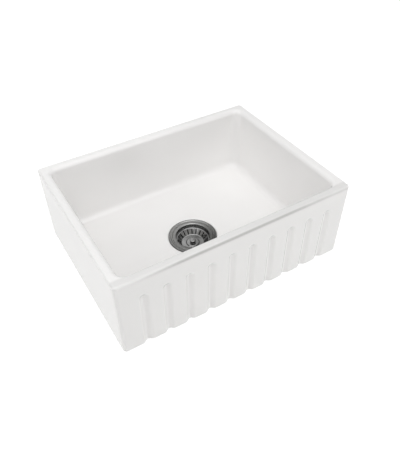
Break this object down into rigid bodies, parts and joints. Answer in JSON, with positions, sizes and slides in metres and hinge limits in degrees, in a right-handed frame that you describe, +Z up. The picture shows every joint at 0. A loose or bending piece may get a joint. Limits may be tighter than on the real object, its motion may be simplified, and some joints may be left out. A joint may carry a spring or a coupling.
{
  "type": "apron front sink",
  "caption": "White fireclay farmhouse sink with a fluted apron, rounded rim and single deep bowl, and a stainless basket strainer waste with a lift-up stopper.",
  "frame": {"origin": "middle of the open lower end of the waste outlet, on the drain's axis", "axes": "+X along the apron to the right as seen from the front, +Y from the apron to the back, +Z up"},
  "size_m": [0.6, 0.45, 0.282],
  "materials": {
    "fireclay": "white gloss glaze",
    "polished_steel": "fine satin polish",
    "plain_steel": "plain turned",
    "brass": "plain turned",
    "grey_seal": "matte",
    "black_rubber": "matte",
    "nylon": "natural",
    "polypropylene": "moulded satin"
  },
  "bodies": {
    "sink": {"bowl": "fireclay", "flange_seal": "grey_seal", "waste_dish": "polished_steel", "under_gasket": "black_rubber", "waste_body": "polypropylene", "clamp_screw": "plain_steel", "screw_washer": "nylon", "clamp_nut": "brass"},
    "basket": {"basket": "polished_steel", "basket_hub": "polished_steel"},
    "stopper": {"lift_knob": "polished_steel", "lift_post": "plain_steel", "stopper_plate": "plain_steel", "stopper_seal": "black_rubber", "stopper_clip": "plain_steel", "post_spring": "plain_steel"}
  },
  "joints": [
    {"name": "basket_lift", "type": "slide", "parent": "sink", "child": "basket", "axis": [0, 0, 1], "range_m": [0, 0.235]},
    {"name": "stopper_slide", "type": "slide", "parent": "basket", "child": "stopper", "axis": [0, 0, 1], "range_m": [0, 0.008]}
  ]
}
